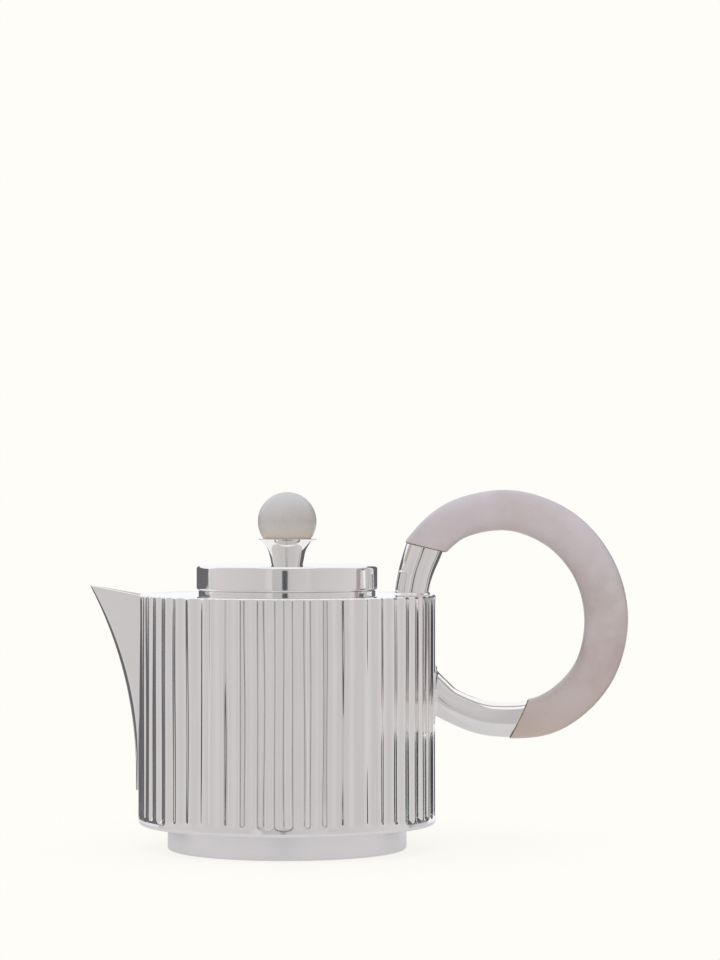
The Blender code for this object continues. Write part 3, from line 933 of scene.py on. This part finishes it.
def make_lower_arm(samples):
    """The arm that grows out of the wall, ended inside the wall's sheet."""
    arm = swept(samples, 0, lambda point: math.hypot(point.x, point.y) - BODY_RADIUS)
    cut_flat(arm, LOWER_SEAM - LOWER_SEAM_OUT * SEAM_HALF, LOWER_SEAM_OUT, END_ROUND)
    top = DECK_LOW.z
    bottom = TRAY_HIGH.z
    inside = turned([(0, top), (ROOT_RADIUS, top), (ROOT_RADIUS, bottom), (0, bottom)])
    finish_piece("lower_arm", carve(arm, inside), "pot", "silver", "handle_lower_arm")


def make_lid():
    """The shallow cap, the plate that closes it from below and the bezel that centres it."""
    radius = LID_HIGH.x
    hole = STUD_HOLE_RADIUS
    inside = radius - LID_SHEET
    seat = COLLAR_HIGH.z + LID_REST
    cap = [
        (hole, LID_HIGH.z, 0),
        (radius, LID_HIGH.z, LID_ROUND),
        (radius, seat, LID_LOWER_ROUND),
        (inside, seat, 0),
        (inside, LID_HIGH.z - LID_SHEET, EDGE_ROUND),
        (hole, LID_HIGH.z - LID_SHEET, 0),
    ]
    finish_piece("lid", turned(rounded(cap)), "lid", "silver", "lid_cap")
    edge = inside - LID_PLATE_CLEARANCE
    plate = [
        (hole, UNDER_HIGH.z, 0),
        (edge, UNDER_HIGH.z, 0),
        (edge, UNDER_LOW.z, 0),
        (hole, UNDER_LOW.z, 0),
    ]
    finish_piece("lid_closing_plate", turned(rounded(plate)), "lid", "satin_silver", "lid_underplate")
    outer = BEZEL_HIGH.x
    inner = outer - BEZEL_SHEET
    bezel = [
        (inner, UNDER_LOW.z, 0),
        (outer, UNDER_LOW.z, 0),
        (outer, BEZEL_LOW.z, EDGE_ROUND),
        (inner, BEZEL_LOW.z, EDGE_ROUND),
    ]
    finish_piece("lid_locating_ring", turned(rounded(bezel)), "lid", "satin_silver", "lid_bezel")


def make_ball():
    """The stone ball, with a blind hole for the stud."""
    lowest = math.degrees(math.asin(STUD_HOLE_RADIUS / BALL_RADIUS)) - 90
    outside = arc(BALL_CENTRE, BALL_RADIUS, 90, lowest, BALL_STEPS)
    outside[0] = (0, BALL_CENTRE + BALL_RADIUS)
    blind = STUD_HIGH.z + STUD_CLEARANCE
    profile = [*outside, (STUD_HOLE_RADIUS, blind), (0, blind)]
    finish_piece("ball", turned(profile, SMALL_TURN_STEPS), "lid", "pale_stone", "knob_ball")


def make_cup():
    """The flared cup under the ball, with a dish that fits it."""
    base = LID_HIGH.z
    rim = CUP_HIGH.z
    rim_radius = CUP_HIGH.x
    flare = []
    flare_width = rim_radius - CUP_NECK_RADIUS - CUP_TAPER
    for i in range(CUP_FLARE_STEPS + 1):
        share = 1 - i / CUP_FLARE_STEPS
        radius = CUP_NECK_RADIUS + CUP_TAPER * share + flare_width * share**CUP_FLARE_POWER
        flare.append((radius, base + (rim - CUP_LIP - base) * share))
    seat_radius = BALL_RADIUS + BALL_CLEARANCE
    low_seat = math.degrees(math.asin(STUD_HOLE_RADIUS / seat_radius)) - 90
    high_seat = math.degrees(math.asin((rim - BALL_CENTRE) / seat_radius))
    dish = arc(BALL_CENTRE, seat_radius, low_seat, high_seat, CUP_FLARE_STEPS)
    profile = [(rim_radius, rim - CUP_LIP / 2), *flare, (STUD_HOLE_RADIUS, base), *dish]
    finish_piece("cup", turned(profile, SMALL_TURN_STEPS), "lid", "silver", "knob_cup")


def make_fastening():
    """The washer and nut under the lid, and the stud that they hold."""
    hole = STUD_HOLE_RADIUS
    washer = [
        (hole, UNDER_LOW.z, 0),
        (WASHER_HIGH.x, UNDER_LOW.z, 0),
        (WASHER_HIGH.x, WASHER_LOW.z, WASHER_ROUND),
        (hole, WASHER_LOW.z, WASHER_HOLE_ROUND),
    ]
    finish_piece("washer", turned(rounded(washer), SMALL_TURN_STEPS), "lid", "satin_silver", "knob_washer")
    finish_piece("nut", nut_mesh(hole), "lid", "satin_silver", "knob_nut")
    radius = STUD_HIGH.x
    stud = [
        (0, STUD_HIGH.z, 0),
        (radius, STUD_HIGH.z, EDGE_ROUND),
        (radius, STUD_LOW.z, EDGE_ROUND),
        (0, STUD_LOW.z, 0),
    ]
    finish_piece("stud", turned(rounded(stud), SMALL_TURN_STEPS), "lid", "satin_silver", "knob_stud")


def nut_mesh(hole):
    """A six-sided nut with turned-down corners and a round hole."""
    corner = NUT_HIGH.x
    flat = corner * math.cos(math.pi / NUT_SIDES)
    turns = [math.tau * i / NUT_POINTS for i in range(NUT_POINTS)]
    side = math.tau / NUT_SIDES

    def ring(height, limit):
        points = []
        for turn in turns:
            reach = min(flat / math.cos((turn % side) - side / 2), limit)
            points.append((reach * math.cos(turn), reach * math.sin(turn), height))
        return points

    top = WASHER_LOW.z
    rings = [
        ring(NUT_LOW.z, hole),
        ring(NUT_LOW.z, flat),
        ring(NUT_LOW.z + NUT_CHAMFER, corner),
        ring(top - NUT_CHAMFER, corner),
        ring(top, flat),
        ring(top, hole),
    ]
    return lofted(rings, closed=True)


def make_world():
    """Cream to the camera, an even tent of light to stone, and a white top and a grey table to silver."""
    world = bpy.data.worlds.new("studio")
    bpy.context.scene.world = world
    world.use_nodes = True
    nodes = Nodes(world.node_tree)
    direction = nodes.add("TexCoord").outputs["Generated"]
    up = nodes.add("SeparateXYZ", {"Vector": direction}).outputs["Z"]
    rays = nodes.add("LightPath").outputs
    mirrored = nodes.ramp(nodes.between(up, -HORIZON_BLUR, HORIZON_BLUR), [(0.0, TABLE), (1.0, OVERHEAD)])
    tent = nodes.ramp(nodes.between(up, -1.0, 1.0), [(0.0, TENT_BELOW), (1.0, TENT_ABOVE)])
    lit = nodes.mix(rays["Is Diffuse Ray"], mirrored, tent)
    seen = nodes.mix(rays["Is Camera Ray"], lit, (*CREAM, 1.0))
    light = nodes.add("Background", {"Color": seen, "Strength": 1.0})
    nodes.add("OutputWorld", {"Surface": light.outputs["Background"]})


def drum_wall(turns, low, high, distance):
    """An upright strip of a drum round the pot, through these turns from the camera's side."""
    rings = [[(distance * math.sin(t), -distance * math.cos(t), z) for z in (low, high)] for t in turns]
    bm = bmesh.new()
    posts = [[bm.verts.new(point) for point in ring] for ring in rings]
    for one, other in zip(posts, posts[1:]):
        bm.faces.new((*one, *reversed(other)))
    return bm


def glowing(name, bm, material):
    """Something of the studio that shows only in the silver."""
    piece = stage_piece(name, bm, material)
    piece.visible_camera = False
    piece.visible_diffuse = False
    piece.visible_shadow = False


def share_round(degrees):
    """Degrees from the camera's side as a share of the way round the drum from its back."""
    return (degrees + 180) / 360


def make_panels():
    """A drum round the set, with grey panels on the camera's side and a white backdrop behind the pot."""
    material, nodes = new_material("studio_panels")
    split = nodes.add("SeparateXYZ", {"Vector": nodes.add("TexCoord").outputs["Object"]}).outputs
    around = nodes.math("ARCTAN2", split["X"], nodes.math("MULTIPLY", split["Y"], -1.0))
    stops = [(0.0, BACKDROP), (share_round(FRONT_PANELS[0][0] - PANEL_EDGE), BACKDROP)]
    for start, end, first, last in FRONT_PANELS:
        stops.append((share_round(start), [first * part for part in WARM_GREY]))
        stops.append((share_round(end), [last * part for part in WARM_GREY]))
    stops += [(share_round(FRONT_PANELS[-1][1] + PANEL_EDGE), BACKDROP), (1.0, BACKDROP)]
    panels = nodes.ramp(nodes.between(around, -math.pi, math.pi), stops)
    close_glow(nodes, panels)
    turns = [math.tau * i / TURN_STEPS for i in range(TURN_STEPS + 1)]
    glowing("studio_panels", drum_wall(turns, PANEL_BOTTOM, PANEL_TOP, PANEL_DISTANCE), material)


def make_cloths():
    """Dark cloths at both sides, and the dark gap that the camera looks through."""
    for name, start, end, low, high, tone in CLOTHS:
        material, nodes = new_material(name)
        close_glow(nodes, (*tone, 1.0))
        turns = [math.radians(start + (end - start) * i / CLOTH_STEPS) for i in range(CLOTH_STEPS + 1)]
        glowing(name, drum_wall(turns, low, high, CLOTH_DISTANCE), material)


def make_lamp():
    lamp = bpy.data.lights.new("softbox", "AREA")
    lamp.shape = "DISK"
    lamp.size = LAMP_SIZE
    lamp.energy = LAMP_POWER
    obj = bpy.data.objects.new("softbox", lamp)
    obj.location = LAMP_PLACE
    middle = (cad_low + cad_high) / 2
    obj.rotation_euler = (middle - Vector(LAMP_PLACE)).to_track_quat("-Z", "Y").to_euler()
    obj.visible_glossy = False
    bpy.context.scene.collection.objects.link(obj)


def make_floor():
    """A pale floor round the foot, which takes the pot's shadow and fades into the backdrop's cream."""
    material, nodes = new_material("floor")
    place = nodes.add("TexCoord").outputs["Object"]
    away = nodes.add("VectorMath", {0: place}, operation="LENGTH").outputs["Value"]
    rays = nodes.add("LightPath").outputs
    plain = (*[FLOOR_GLOW * part for part in CREAM], 1.0)
    lit = nodes.mix(rays["Is Diffuse Ray"], plain, (*FLOOR_TO_STONE, 1.0))
    glow = nodes.mix(rays["Is Glossy Ray"], lit, (*FLOOR_IN_METAL, 1.0))
    matte = nodes.add("BsdfDiffuse", {"Color": (*FLOOR_MATTE, 1.0)})
    emit = nodes.add("Emission", {"Color": glow, "Strength": 1.0})
    surface = nodes.add("AddShader", {0: matte.outputs["BSDF"], 1: emit.outputs["Emission"]})
    fade = nodes.between(away, FLOOR_FADE_START, FLOOR_RADIUS)
    clear = nodes.add("BsdfTransparent")
    mixed = nodes.add("MixShader", {0: fade, 1: surface.outputs["Shader"], 2: clear.outputs["BSDF"]})
    nodes.add("OutputMaterial", {"Surface": mixed.outputs["Shader"]})

    bm = bmesh.new()
    bmesh.ops.create_circle(bm, cap_ends=True, segments=TURN_STEPS, radius=FLOOR_RADIUS)
    stage_piece("floor", bm, material)


def make_camera():
    """A level camera that frames the pot as the photograph does."""
    camera = bpy.data.cameras.new("camera")
    camera.sensor_fit = "VERTICAL"
    camera.sensor_height = SENSOR
    camera.lens = SENSOR * CAMERA_PIXELS_AWAY / PHOTO_HEIGHT
    obj = bpy.data.objects.new("camera", camera)
    obj.location = (
        (PHOTO_WIDTH / 2 - AXIS_COLUMN) * PIXEL,
        -CAMERA_PIXELS_AWAY * PIXEL,
        (GROUND_ROW - PHOTO_HEIGHT / 2) * PIXEL,
    )
    obj.rotation_euler = (math.pi / 2, 0, 0)
    bpy.context.scene.collection.objects.link(obj)
    bpy.context.scene.camera = obj


def dress_hidden_nodes():
    """Pieces that keep their own shape and only take a finish."""
    for name, slot in (
        ("foot_plate", "satin_silver"),
        ("handle_upper_dowel", "satin_silver"),
        ("handle_lower_dowel", "satin_silver"),
    ):
        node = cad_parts[name]
        node.data.materials.clear()
        node.data.materials.append(MATERIALS[slot])


bpy.context.scene.view_settings.view_transform = "Standard"
MATERIALS = make_materials()
make_camera()
make_world()
make_panels()
make_cloths()
make_lamp()
make_floor()
make_foot()
make_tray()
make_wall()
make_deck()
make_spout()
make_handle()
make_lid()
make_ball()
make_cup()
make_fastening()
dress_hidden_nodes()
